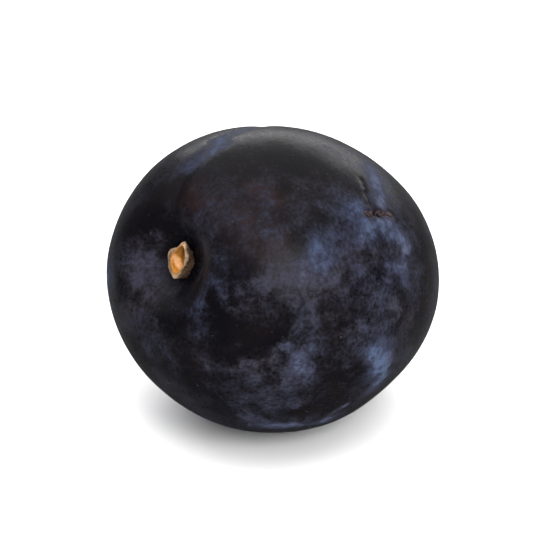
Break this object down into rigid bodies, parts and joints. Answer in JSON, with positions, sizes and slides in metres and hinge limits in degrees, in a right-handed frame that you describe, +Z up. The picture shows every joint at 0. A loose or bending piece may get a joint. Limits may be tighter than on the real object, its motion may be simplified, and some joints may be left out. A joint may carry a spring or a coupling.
{
  "type": "plum",
  "caption": "Whole ripe dark plum lying on its side, with a stalk hollow, a seam to the tip and the short stub of its stalk.",
  "frame": {"origin": "on the surface that the plum lies on, under the middle of its bounding box", "axes": "+Z up, the stalk end towards -Y and tilted up by 25 degrees, the tip towards +Y, +X across"},
  "size_m": [0.0496, 0.053, 0.0481],
  "materials": {
    "plum_skin": "blue-black skin, satin, with a grey-blue waxy bloom in patches",
    "stalk_wood": "dry tan bark with a broken orange-brown end"
  },
  "bodies": {
    "root": {"fruit": "plum_skin", "stem": "stalk_wood"}
  },
  "joints": []
}
